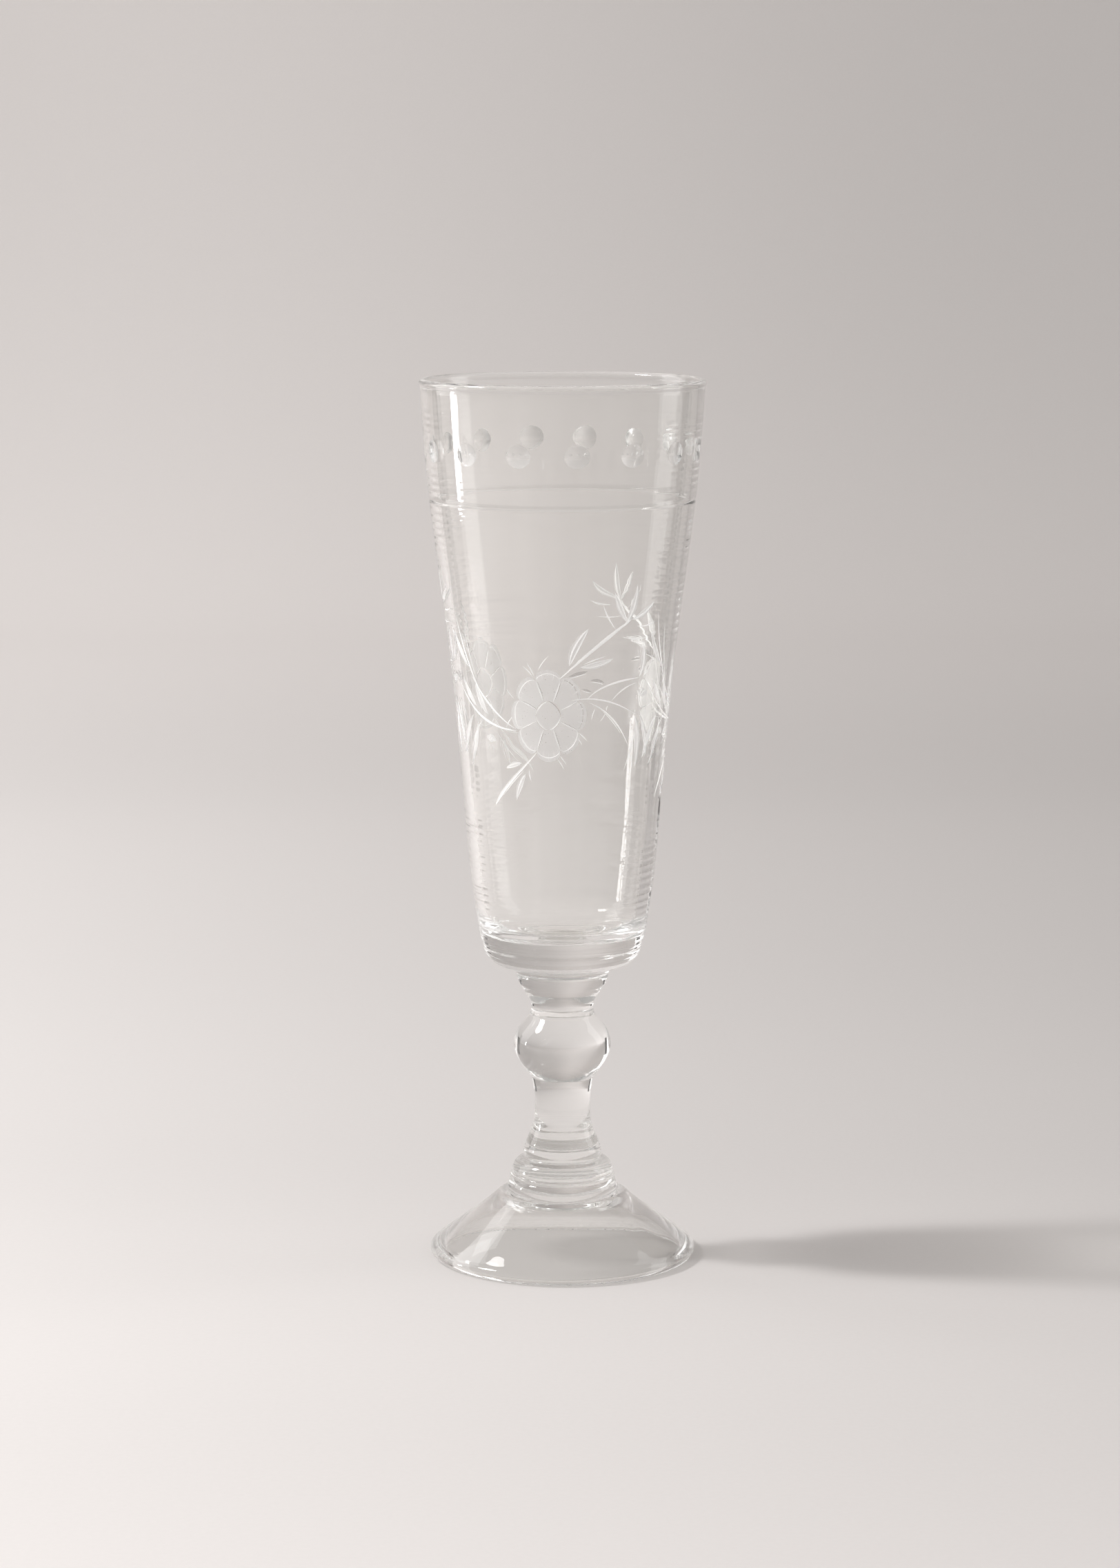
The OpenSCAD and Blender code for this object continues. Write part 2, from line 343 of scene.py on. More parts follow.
def upper_spray():
    """A long stem to the upper right that ends in slim leaves, with three small leaves near its root."""
    return [
        blade([(2.1, 7.4), (7.5, 12.4), (11.5, 16.2), (16.5, 19.4)], 0.75, swell=0.65),
        blade([(5.5, 10.9), (9.5, 14.4), (13.5, 17.6)], 0.3),
        *leaf([(4.2, 10.2), (4.6, 14.4), (7.8, 17.8)], 1.25),
        *leaf([(6.4, 9.9), (9.6, 10.1), (13.0, 11.5)], 1.15),
        blade([(6.9, 10.5), (9.3, 11.6), (11.4, 12.1)], 0.26),
        *painted_dark_leaf([(4.1, 8.0), (5.8, 8.7), (7.9, 9.1)], 0.8),
        *painted_dark_leaf([(8.4, 7.2), (9.8, 7.4), (11.4, 6.6)], 0.7),
        *painted_dark_leaf([(6.7, 5.5), (7.7, 5.2), (8.7, 4.9)], 0.5),
        *leaf([(15.6, 18.8), (13.4, 21.6), (12.6, 25.0)], 0.95),
        *leaf([(16.6, 19.3), (19.4, 20.2), (21.8, 22.6)], 0.95),
        *leaf([(15.0, 17.9), (17.4, 22.0), (17.2, 26.4)], 1.0),
        blade([(13.2, 17.4), (11.2, 19.9), (10.4, 22.6)], 0.3),
        blade([(17.8, 17.9), (20.4, 17.5), (22.6, 18.5)], 0.32),
        blade([(14.6, 15.9), (17.6, 14.9), (20.6, 15.4)], 0.3),
    ]


def right_sprays():
    """Curved tendrils that sweep to the right, with a bud and two leaves where they meet."""
    return [
        blade([(7.9, 3.4), (11.0, 7.0), (19.6, 7.2)], 0.42, swell=0.7),
        blade([(13.0, 2.7), (15.2, 5.6), (18.9, 6.2)], 0.3),
        blade([(4.6, 3.1), (9.5, 4.2), (14.0, 2.6), (19.5, -0.6)], 0.3),
        blade([(8.2, 2.7), (12.0, 1.2), (15.2, -2.2), (17.8, -7.0)], 0.34, swell=0.6),
        blade([(11.0, 1.0), (13.6, -1.4), (15.6, -4.2)], 0.18),
        blade([(9.6, 1.4), (9.0, 0.4), (8.9, -1.0)], 0.2),
        blade([(12.3, 1.9), (11.9, 1.4), (12.0, 0.8)], 0.24),
        blade([(11.8, 0.3), (11.4, -0.6), (10.7, -1.3)], 0.22),
        blade([(6.2, -3.5), (7.2, -4.2), (8.1, -5.3)], 0.22),
        blade([(6.0, -4.5), (6.5, -5.1), (7.0, -6.1)], 0.18),
        *leaf([(19.2, -0.8), (20.6, -6.0), (20.0, -11.5)], 1.2),
        *leaf([(20.4, -0.6), (23.2, -5.2), (23.1, -9.6)], 0.9),
        blade([(19.8, -2.0), (18.6, -7.0), (16.8, -12.0)], 0.36),
        *leaf([(19.6, 7.3), (21.0, 10.6), (19.8, 14.2)], 1.1),
        blade([(20.3, 7.2), (22.6, 9.0), (23.2, 12.2)], 0.34),
        *bud((20.6, 3.2), 1.9),
    ]


def bud(centre, size):
    """A small half-open bud: three satin lobes and two fine whiskers. A negative size turns it over."""
    c = np.array(centre)
    up = math.copysign(1, size)
    shapes = []
    for turn_by in (-0.75, 0.0, 0.75):
        way = np.array([math.sin(turn_by), math.cos(turn_by)]) * size
        aside = np.array([way[1], -way[0]]) * 0.34
        shapes += [
            blade([c, c + way * 0.5 + aside, c + way], abs(size) * 0.5, "satin", 0.6, PETAL_DEPTH * 0.7),
            blade([c, c + way * 0.55 - aside, c + way], 0.2),
        ]
    shapes.append(blade([c + (0.2, 2.1 * up), c + (0.5, 2.8 * up), c + (0.4, 3.6 * up)], 0.16))
    shapes.append(blade([c + (-0.6, 2.0 * up), c + (-0.8, 2.6 * up), c + (-1.3, 3.2 * up)], 0.16))
    return shapes


def lower_leaf():
    """A stem from the flower's foot to a long leaf at the lower left, with side leaves."""
    return [
        blade([(-2.5, -7.6), (-6.0, -11.6), (-10.6, -15.2), (-13.2, -19.3)], 0.72, swell=0.78),
        blade([(-5.4, -11.4), (-8.6, -14.4), (-11.0, -17.2)], 0.24),
        *leaf([(-5.1, -12.2), (-6.9, -14.4), (-7.5, -17.8)], 1.05),
        *leaf([(-6.0, -10.0), (-7.8, -10.1), (-9.8, -11.3)], 0.95),
        blade([(-4.3, -11.2), (-4.4, -12.4), (-3.8, -13.7)], 0.26),
        blade([(-6.4, -9.9), (-9.0, -7.6), (-11.7, -3.8)], 0.16),
        blade([(-9.2, -10.3), (-10.2, -8.2), (-10.5, -5.9)], 0.16),
        blade([(1.8, -8.9), (2.7, -9.9), (3.3, -11.1)], 0.2),
        blade([(2.2, -8.1), (3.1, -9.0), (3.7, -10.1)], 0.2),
    ]


def left_sprays():
    """Three long blades that sweep from the flower's left to the upper left, with leaves between."""
    return [
        blade([(-6.7, -3.3), (-12.6, -3.2), (-18.6, -0.6), (-23.0, 6.0)], 0.5, swell=0.4),
        blade([(-6.9, -3.0), (-11.6, -0.6), (-15.0, 3.4), (-18.0, 7.4)], 0.45, swell=0.5),
        blade([(-14.6, 2.6), (-18.6, 8.6), (-20.6, 14.2), (-21.6, 20.4)], 0.42, swell=0.5),
        blade([(-16.2, 6.2), (-18.6, 12.2), (-18.8, 17.8)], 0.26),
        *leaf([(-13.8, -0.5), (-15.9, 2.2), (-16.9, 5.8)], 1.1),
        *leaf([(-17.2, 0.9), (-19.4, 3.4), (-21.3, 6.6)], 1.05),
        *leaf([(-18.6, 8.8), (-21.4, 11.8), (-23.0, 16.2)], 0.95),
        blade([(-15.4, -1.8), (-18.4, -4.2), (-20.0, -8.6)], 0.34),
        *leaf([(-18.6, -1.0), (-21.8, -4.6), (-22.8, -9.8)], 1.0),
        *leaf([(-17.0, -2.2), (-17.8, -6.8), (-20.4, -11.4)], 0.95),
        *bud((-13.2, -4.6), -1.7),
        blade([(-5.0, 10.2), (-3.8, 9.2), (-2.8, 7.8)], 0.24),
        blade([(-4.1, 10.8), (-3.2, 9.5), (-2.6, 7.9)], 0.22),
        blade([(-1.9, 9.2), (-1.3, 10.8), (0.2, 12.3)], 0.2),
        blade([(-7.1, 3.3), (-8.0, 4.1), (-8.8, 5.4)], 0.2),
    ]


def spray(sides):
    """One motif about its flower's heart. Where two would meet, one side is left out."""
    shapes = flower_head() + upper_spray() + lower_leaf()
    if sides != "not right":
        shapes += right_sprays()
    if sides != "not left":
        shapes += left_sprays()
    return shapes


def moved(shape, by):
    """A shape moved on the unrolled wall."""
    keys = [k for k in ("edge", "spine", "centre") if k in shape]
    return {**shape, **{k: shape[k] + np.array(by) for k in keys}}


def dot():
    """One round dot: an oval scoop with rings of points for its curve."""
    a = np.linspace(0, 2 * math.pi, 37)[:-1]
    edge = np.c_[DOT_SIZE[0] / 2 * np.cos(a), DOT_SIZE[1] / 2 * np.sin(a)]
    return {"kind": "dot", "edge": edge, "centre": np.zeros(2), "depth": DOT_DEPTH, "lens": True}


def depth_of(shape, pts):
    """How deep a shape is cut at each point, mm."""
    out = np.zeros(len(pts))
    lo, hi = shape["edge"].min(0) - 0.01, shape["edge"].max(0) + 0.01
    near = np.nonzero(((pts >= lo) & (pts <= hi)).all(1))[0]
    if not len(near):
        return out
    q = pts[near]
    if "spine" in shape:
        best = np.zeros(len(q))
        for a, b, ha, hb in zip(shape["spine"], shape["spine"][1:], shape["half"], shape["half"][1:]):
            d = b - a
            t = np.clip(((q - a) @ d) / (d @ d), 0, 1)
            far = np.hypot(*(q - a - t[:, None] * d).T)
            best = np.maximum(best, 1 - (far / (ha + (hb - ha) * t)) ** 2)
        out[near] = shape["depth"] * np.minimum(1, np.maximum(best, 0))
        return out
    q = q - shape["centre"]
    edge = shape["edge"] - shape["centre"]
    ang = np.arctan2(edge[:, 1], edge[:, 0])
    order = np.argsort(ang)
    here = np.arctan2(q[:, 1], q[:, 0])
    reach = np.interp(here, ang[order], np.hypot(*edge.T)[order], period=2 * math.pi)
    out[near] = shape["depth"] * np.maximum(0, 1 - (np.hypot(*q.T) / reach) ** 2)
    return out


# ---------------------------------------------------------------- turned meshes

# deep is a cut whose darkness is painted shade
KINDS = ["clear", "line", "satin", "dot", "deep", "ground", "fused"]
RING_AZ = 2 * math.pi * np.arange(AROUND) / AROUND


def tangents(path):
    """Unit direction of the outline at each of its points."""
    step = np.r_[0, np.cumsum(np.hypot(*np.diff(path, axis=0).T))]
    t = np.gradient(path, step, axis=0)
    return t / np.hypot(*t.T)[:, None]


def normals(r, z, az, side, way):
    """Outward normals of the uneven wall, by small differences. way is the outline's direction."""
    e = 0.02
    up = placed(r + e * way[..., 0], z + e * way[..., 1], az, side)
    up = up - placed(r - e * way[..., 0], z - e * way[..., 1], az, side)
    turn_by = e / np.maximum(r, 0.5)
    along = placed(r, z, az + turn_by, side) - placed(r, z, az - turn_by, side)
    n = np.cross(along, up)
    return n / np.linalg.norm(n, axis=-1, keepdims=True)


class Shell:
    """A closed mesh in the making: vertices, faces, each face's kind, and a normal for each face corner."""

    def __init__(self):
        self.verts, self.faces, self.kinds, self.corner = [], [], [], []
        self.count = 0

    def add(self, points):
        first = self.count
        self.verts.append(points)
        self.count += len(points)
        return np.arange(first, self.count)

    def face(self, index, kind, corner_normals):
        self.faces.append([int(i) for i in index])
        self.kinds.append(kind)
        self.corner += [tuple(n) for n in corner_normals]

    def band(self, lower, upper, n_lower, n_upper, kind):
        """Quads between two rings; a single vertex makes a fan."""
        for j in range(AROUND):
            k = (j + 1) % AROUND
            if len(lower) == 1:
                self.face([lower[0], upper[k], upper[j]], kind, [n_lower[0], n_upper[k], n_upper[j]])
            elif len(upper) == 1:
                self.face([lower[j], lower[k], upper[0]], kind, [n_lower[j], n_lower[k], n_upper[0]])
            else:
                self.face([lower[j], lower[k], upper[k], upper[j]], kind,
                          [n_lower[j], n_lower[k], n_upper[k], n_upper[j]])

    def piece(self, name, materials):
        mesh = bpy.data.meshes.new(name)
        mesh.from_pydata(np.vstack(self.verts).tolist(), [], self.faces)
        used = sorted(set(self.kinds), key=KINDS.index)
        for kind in used:
            mesh.materials.append(materials[kind])
        slots = np.array([used.index(k) for k in self.kinds], np.int32)
        mesh.polygons.foreach_set("material_index", slots)
        mesh.polygons.foreach_set("use_smooth", np.ones(len(slots), bool))
        mesh.validate(clean_customdata=False)
        mesh.normals_split_custom_set(self.corner)
        obj = bpy.data.objects.new(name, mesh)
        bpy.context.scene.collection.objects.link(obj)
        return obj


def ring(shell, r, z, side, way):
    """One ring of vertices and their normals; on the axis it is one vertex."""
    if r < 1e-6:
        up = 1.0 if way[0] < 0 else -1.0
        return shell.add(np.array([[0, 0, z * MM]])), np.array([[0, 0, up]])
    r, z = np.full(AROUND, r), np.full(AROUND, z)
    index = shell.add(placed(r, z, RING_AZ, side))
    return index, normals(r, z, RING_AZ, side, np.tile(way, (AROUND, 1)))


def cap(shell, edge, edge_r, z, shared_r, facing):
    """Closes a joint: a narrow ledge out to the piece's own edge, and the fused disc inside it."""
    flat = np.tile([0, 0, facing], (AROUND, 1))
    inner = edge
    if edge_r - shared_r > 0.004:
        inner, _ = ring(shell, shared_r, z, 0, np.array([0.0, 1.0]))
        pair = (inner, edge) if facing < 0 else (edge, inner)
        shell.band(*pair, flat, flat, "clear")
    centre = shell.add(np.array([[0, 0, z * MM]]))
    pair = (centre, inner) if facing < 0 else (inner, centre)
    shell.band(*pair, flat, flat, "fused")


class Sheet:
    """The unrolled wall in the making: points, edges to keep, and each shape's outline as a face."""

    def __init__(self):
        self.pts, self.edges, self.faces = [], [], []

    def add(self, points):
        self.pts.extend(points)
        return list(range(len(self.pts) - len(points), len(self.pts)))

    def chain(self, index):
        self.edges.extend(zip(index[:-1], index[1:]))

    def add_shape(self, shape):
        """A shape's outline, with its spine or rings of points inside."""
        index = self.add([tuple(p) for p in shape["edge"]])
        self.faces.append(index)
        if "spine" in shape:
            inside = self.add([tuple(p) for p in shape["spine"][1:-1]])
            self.chain([index[0]] + inside + [index[len(shape["spine"]) - 1]])
            return
        lens = "lens" in shape
        for share in (0.25, 0.5, 0.75, 0.92) if lens else (0.45, 0.8):
            points = [tuple(p) for p in shape["centre"] + (shape["edge"] - shape["centre"]) * share]
            self.add(points if lens else points[::2])
        self.add([tuple(shape["centre"])])


def unrolled(band, seam, shapes, r_ref):
    """A band of the wall laid flat, with points all over it, and the points along its four borders."""
    z0, z1 = band
    length = 2 * math.pi * r_ref
    u0 = seam * length / AROUND
    sheet = Sheet()
    rows = round((z1 - z0) / FLAT_ROW)
    heights = [z0 + (z1 - z0) * i / rows for i in range(1, rows)]
    bottom = sheet.add([(u0 + length * j / AROUND, z0) for j in range(AROUND + 1)])
    top = sheet.add([(u0 + length * j / AROUND, z1) for j in range(AROUND + 1)])
    left = sheet.add([(u0, z) for z in heights])
    right = sheet.add([(u0 + length, z) for z in heights])
    for index in (bottom, top, [bottom[0]] + left + [top[0]], [bottom[-1]] + right + [top[-1]]):
        sheet.chain(index)
    first = len(sheet.pts)
    for shape in shapes:
        sheet.add_shape(shape)
    tree = KDTree(len(sheet.pts) - first)
    for i in range(first, len(sheet.pts)):
        tree.insert((*sheet.pts[i], 0), i)
    tree.balance()
    for row, z in enumerate(heights):
        for j in range(AROUND):
            u = u0 + length * (j + 0.25 + 0.5 * (row % 2)) / AROUND
            if tree.find((u, z, 0))[2] > CLEARANCE:
                sheet.pts.append((u, z))
    return sheet, (bottom, top, left, right)


def cut_depth(shapes, pts):
    """How deep the wall is cut at each point, mm. Only cuts of different kinds add up."""
    deep = {kind: np.zeros(len(pts)) for kind in ("line", "satin", "dot", "deep")}
    for shape in shapes:
        deep[shape["kind"]] = np.maximum(deep[shape["kind"]], depth_of(shape, pts))
    return sum(deep.values())


def triangle_kinds(shapes, owners):
    """What each triangle is, and the number of the shape that it belongs to, from 1. Clear wall is 0."""
    kinds, group = [], np.zeros(len(owners), int)
    for f, own in enumerate(owners):
        names = [shapes[i]["kind"] for i in own]
        kind = next((k for k in ("line", "deep", "dot", "satin") if k in names), "clear")
        kinds.append(kind)
        group[f] = 1 + max((i for i in own if shapes[i]["kind"] == kind), default=-1)
    return kinds, group


def triangle_normals(at, tri, group):
    """Each triangle's own normal, and corner normals smoothed over the triangles of one shape."""
    own = np.cross(at[tri[:, 1]] - at[tri[:, 0]], at[tri[:, 2]] - at[tri[:, 0]])
    unique, inverse = np.unique(group[:, None] * len(at) + tri, return_inverse=True)
    total = np.zeros((len(unique), 3))
    np.add.at(total, inverse.ravel(), np.repeat(own, 3, axis=0))
    total /= np.maximum(np.linalg.norm(total, axis=1, keepdims=True), 1e-20)
    own /= np.maximum(np.linalg.norm(own, axis=1, keepdims=True), 1e-20)
    return own, total[inverse.reshape(tri.shape)]


def patch(shell, wall, way, cut, lower, upper):
    """The outer wall between two rings, with shapes cut into it: meshed flat, then rolled up."""
    band, seam, shapes, r_ref = cut
    sheet, (bottom, top, left, right) = unrolled(band, seam, shapes, r_ref)
    corners = [Vector(p) for p in sheet.pts]
    meshed = delaunay_2d_cdt(corners, sheet.edges, sheet.faces, 0, 1e-5, True)
    out, _, tris, origin, _, owners = meshed
    flat, tri = np.array([tuple(p) for p in out]), np.array(tris)
    source = {i: k for k, group in enumerate(origin) for i in group}

    az, z = flat[:, 0] / r_ref, flat[:, 1]
    r = np.interp(z, wall[:, 1], wall[:, 0])
    slope = np.c_[np.interp(z, wall[:, 1], way[:, 0]), np.interp(z, wall[:, 1], way[:, 1])]
    clear = normals(r, z, az, 0, slope)
    at = placed(r, z, az, 0) - clear * cut_depth(shapes, flat)[:, None] * MM

    target = np.full(len(flat), -1)
    for index, ring_index in ((bottom, lower), (top, upper)):
        for j, i in enumerate(index):
            target[source[i]] = ring_index[(seam + j) % AROUND]
    twin = {source[b]: source[a] for a, b in zip(left, right)}
    fresh = [k for k in range(len(flat)) if target[k] < 0 and k not in twin]
    target[fresh] = shell.add(at[fresh])
    for b, a in twin.items():
        target[b] = target[a]

    kinds, group = triangle_kinds(shapes, owners)
    own, soft = triangle_normals(at, tri, group)
    for f, (index, kind) in enumerate(zip(tri, kinds)):
        if kind == "clear":
            corner = clear[index]
        elif kind == "line":
            corner = np.tile(own[f], (3, 1))
        else:
            corner = soft[f] + clear[index] * SMOOTHED[kind]
            corner = corner / np.linalg.norm(corner, axis=1, keepdims=True)
        shell.face(target[index], kind, corner)


def turned_rows(path, rim, way, stops):
    """Rings to turn: order, radius, height, side and direction. A cut band has one at each end only."""
    rows = []
    for i, (r, z) in enumerate(path):
        if i < rim and any(lo - 0.2 < z < hi + 0.2 for lo, hi in stops):
            continue
        rows.append((z if i < rim else PAST_RIM + i, r, z, 0 if i <= rim else 1, way[i]))
    outer = path[:rim]
    for z in (height for band in stops for height in band):
        r = np.interp(z, outer[:, 1], outer[:, 0])
        ahead = np.array([np.interp(z, outer[:, 1], way[:rim, k]) for k in (0, 1)])
        rows.append((z, r, z, 0, ahead / np.hypot(*ahead)))
    if stops:
        rows.sort(key=lambda row: row[0])
    return rows


def turned(node, shared_low=None, shared_high=None, cuts=()):
    """A piece turned from a CAD node's outline. cuts are (band, seam, shapes, r_ref) on its outer wall."""
    path = outline(node)
    rim = len(path)
    if node == "bowl":
        base = [(path[-1, 0] * (1 - i / 18), path[-1, 1]) for i in range(1, 19)]
        path = np.vstack([path, base])
        rim = int(np.argmax(path[:, 1]))
    way = tangents(path)
    rows = turned_rows(path, rim, way, [cut[0] for cut in cuts])
    shell = Shell()
    made = [ring(shell, *row[1:]) for row in rows]
    for i in range(len(rows) - 1):
        (low, n_low), (high, n_high) = made[i], made[i + 1]
        order, _, z = rows[i][:3]
        here = [cut for cut in cuts if abs(cut[0][0] - z) < 1e-9 and order < PAST_RIM]
        if here:
            patch(shell, path[:rim], way[:rim], here[0], low, high)
        else:
            resting = node == "foot" and max(z, rows[i + 1][2]) < GROUND_BELOW
            shell.band(low, high, n_low, n_high, "ground" if resting else "clear")
    if shared_low is not None:
        cap(shell, made[0][0], rows[0][1], rows[0][2], shared_low, -1.0)
    if shared_high is not None:
        cap(shell, made[-1][0], rows[-1][1], rows[-1][2], shared_high, 1.0)
    return shell.piece("flute_" + node, MATERIALS)


# ---------------------------------------------------------------- materials

def new_material(name):
    """An empty material, with a helper that adds a node and sets or links its sockets. i3 is socket 3."""
    mat = bpy.data.materials.new(name)
    mat.use_nodes = True
    tree = mat.node_tree
    tree.nodes.clear()

    def node(kind, props=None, **sockets):
        made = tree.nodes.new("ShaderNode" + kind)
        for key, value in (props or {}).items():
            setattr(made, key, value)
        for key, value in sockets.items():
            numbered = key[0] == "i" and key[1:].isdigit()
            socket = made.inputs[int(key[1:]) if numbered else key.replace("_", " ")]
            if isinstance(value, bpy.types.NodeSocket):
                tree.links.new(value, socket)
            else:
                socket.default_value = value
        return made

    return mat, node


def noise(node, scale, detail=2.0, stretch=(1, 1, 1)):
    """Noise over the glass in its own metres; scale is in lumps per metre."""
    place = node("TexCoord").outputs["Object"]
    if stretch != (1, 1, 1):
        place = node("Mapping", Vector=place, Scale=stretch).outputs["Vector"]
    return node("TexNoise", Vector=place, Scale=scale, Detail=detail).outputs["Fac"]


def between(node, factor, low, high):
    """A number that runs from low to high as factor runs from 0.25 to 0.75."""
    return node("MapRange", i0=factor, i1=0.25, i2=0.75, i3=low, i4=high).outputs[0]


def tinted(node, factor, low, high):
    """A colour that runs from low to high with factor."""
    mix = node("Mix", {"data_type": "RGBA"}, i0=factor)
    mix.inputs[6].default_value = (*low, 1)
    mix.inputs[7].default_value = (*high, 1)
    return mix.outputs[2]


def ramped(node, factor, stops, mode="LINEAR"):
    """A colour ramp with the given (position, colour) stops."""
    ramp = node("ValToRGB", Fac=factor)
    ramp.color_ramp.interpolation = mode
    elements = ramp.color_ramp.elements
    while len(elements) < len(stops):
        elements.new(0.5)
    for element, (position, colour) in zip(elements, stops):
        element.position = position
        element.color = (*colour, 1)
    return ramp.outputs[0]


def lets_lamps_through(node, glass, centre, edge):
    """Glass that dims the lamps' light. Solid glass and walls seen edge on throw most of it aside."""
    facing = node("LayerWeight", Blend=0.42).outputs["Facing"]
    edge_on = node("MapRange", i0=facing, i1=0.3, i2=1.0, i3=0.0, i4=1.0).outputs[0]
    height = node("SeparateXYZ", Vector=node("TexCoord").outputs["Object"]).outputs["Z"]
    top = THROWS_ASIDE[-1][0]
    share = node("MapRange", i0=height, i1=0.0, i2=top * MM, i3=0.0, i4=1.0).outputs[0]
    by_height = ramped(node, share, [(z / top, (clear, clear, clear * 0.995)) for z, clear in THROWS_ASIDE])
    by_angle = tinted(node, edge_on, (centre,) * 3, (edge,) * 3)
    passed = node("VectorMath", {"operation": "MULTIPLY"}, i0=by_height, i1=by_angle).outputs[0]
    shade = node("BsdfTransparent", Color=passed).outputs[0]
    open_air = node("BsdfTransparent", Color=(0.92, 0.92, 0.915, 1)).outputs[0]
    path = node("LightPath").outputs
    seen = node("MixShader", i0=path["Is Diffuse Ray"], i1=glass, i2=open_air).outputs[0]
    mix = node("MixShader", i0=path["Is Shadow Ray"], i1=seen, i2=shade).outputs[0]
    node("OutputMaterial", Surface=mix)


def clear_glass():
    """Old soda-lime glass: clear and faintly warm, with fine cords in it and the haze of handling."""
    mat, node = new_material("clear_glass")
    haze = between(node, noise(node, 90, 4), 0.0, 0.012)
    tint = tinted(node, noise(node, 40), (0.985, 0.985, 0.975), (1.0, 0.998, 0.99))
    cords = noise(node, 260, 3, (1, 1, 0.35))
    bump = node("Bump", Strength=0.1, Distance=0.00002, Height=cords).outputs[0]
    look = {"Base_Color": tint, "Roughness": haze, "IOR": IOR, "Transmission_Weight": 1.0, "Normal": bump}
    glass = node("BsdfPrincipled", **look)
    lets_lamps_through(node, glass.outputs[0], 1.0, 0.45)
    return mat


def worked_glass(name, grain, rough, tones, bump, clear, lamps, painted_glow=0.0):
    """Cut or ground glass. grain is its noise, and roughness, tint and bump all follow it. painted_glow is
    light painted in as an emission, though the glass is no lamp.
    """
    mat, node = new_material(name)
    grain = noise(node, *grain)
    look = {
        "Base_Color": tinted(node, grain, *tones),
        "Roughness": between(node, grain, *rough),
        "IOR": IOR,
        "Transmission_Weight": clear,
        "Normal": node("Bump", Strength=bump[0], Distance=bump[1] * MM, Height=grain).outputs[0],
    }
    # painted glow: an emission that makes the cut look lit
    if painted_glow:
        look["Emission_Color"] = (1.0, 0.99, 0.97, 1)
        look["Emission_Strength"] = painted_glow
    lets_lamps_through(node, node("BsdfPrincipled", **look).outputs[0], *lamps)
    return mat


def cut_line():
    """The white bottom of a wheel-cut stroke: ground glass with a grain, made whiter still by a painted
    glow.
    """
    tones = ((0.96, 0.96, 0.95), (1.0, 1.0, 1.0))
    # the last number, 0.2, is a painted glow
    return worked_glass("cut_line", (5200, 3), (0.3, 0.55), tones, (0.4, 0.04), 0.25, (0.9, 0.6), 0.2)


def cut_satin():
    """The matt scoop of a petal or a leaf: fine ground glass that still lets the light behind it show, with
    a faint painted glow.
    """
    tones = ((0.96, 0.96, 0.95), (1.0, 1.0, 1.0))
    # the last number, 0.02, is a painted glow
    return worked_glass("cut_satin", (3800, 3), (0.26, 0.42), tones, (0.35, 0.03), 0.6, (0.95, 0.6), 0.02)


def cut_dot():
    """The half-polished scoop of a round dot."""
    tones = ((0.95, 0.95, 0.94), (1.0, 1.0, 0.99))
    return worked_glass("cut_dot", (3200, 3), (0.1, 0.17), tones, (0.2, 0.02), 0.74, (0.95, 0.6))


def painted_dark_cut():
    """The polished far side of a cut. Its darkness is painted shade: a dark base colour stands in for the
    light such a cut throws aside.
    """
    # painted shade: these dark tones make the cut look unlit
    tones = ((0.5, 0.49, 0.48), (0.72, 0.71, 0.7))
    return worked_glass("painted_dark_cut", (3200, 3), (0.08, 0.2), tones, (0.2, 0.03), 0.9, (0.9, 0.5))


def ground_ring():
    """The resting edge, ground flat by hand and bruised by tables: matt, with clear chips."""
    tones = ((0.8, 0.79, 0.78), (1.0, 1.0, 1.0))
    return worked_glass("ground_ring", (900, 5), (0.1, 0.6), tones, (0.6, 0.1), 0.85, (0.9, 0.6))


def fused_joint():
    """The face where two gathers were melted together: no surface is left, so it is all but unseen."""
    mat, node = new_material("fused_joint")
    tint = tinted(node, noise(node, 300), (0.985, 0.985, 0.98), (1.0, 1.0, 1.0))
    node("OutputMaterial", Surface=node("BsdfTransparent", Color=tint).outputs[0])
    return mat


MATERIALS = {
    "clear": clear_glass(),
    "line": cut_line(),
    "satin": cut_satin(),
    "dot": cut_dot(),
    "deep": painted_dark_cut(),
    "ground": ground_ring(),
    "fused": fused_joint(),
}


# ---------------------------------------------------------------- the flute

def flower_cuts():
    """The engraved band: the same spray repeated round the bowl, on the unrolled wall."""
    path = outline("bowl")
    rim = int(np.argmax(path[:, 1]))
    r_ref = float(np.interp(FLOWER_Z, path[:rim, 1], path[:rim, 0]))
    shapes = []
    for az, rise, sides in FLOWERS:
        shapes += [moved(s, (math.radians(az) * r_ref, FLOWER_Z + rise)) for s in spray(sides)]
    return FLOWER_BAND, FLOWER_SEAM, [into_turn(s, FLOWER_SEAM, r_ref) for s in shapes], r_ref


def dot_cuts():
    """The row of round dots under the rim."""
    path = outline("bowl")
    rim = int(np.argmax(path[:, 1]))
    r_ref = float(np.interp(DOT_Z, path[:rim, 1], path[:rim, 0]))
    shapes = []
    for k in range(DOTS):
        az = math.radians(DOT_FIRST + 360 * k / DOTS)
        az -= math.radians(DOT_DRIFT) * (1 - math.cos(az))
        shapes.append(into_turn(moved(dot(), (az * r_ref, DOT_Z)), DOT_SEAM, r_ref))
    return DOT_BAND, DOT_SEAM, shapes, r_ref


def into_turn(shape, seam, r_ref):
    """Brings a shape into the one turn that starts at the seam."""
    length = 2 * math.pi * r_ref
    start = seam * length / AROUND
    middle = shape["edge"][:, 0].mean()
    return moved(shape, (-length * math.floor((middle - start) / length), 0))


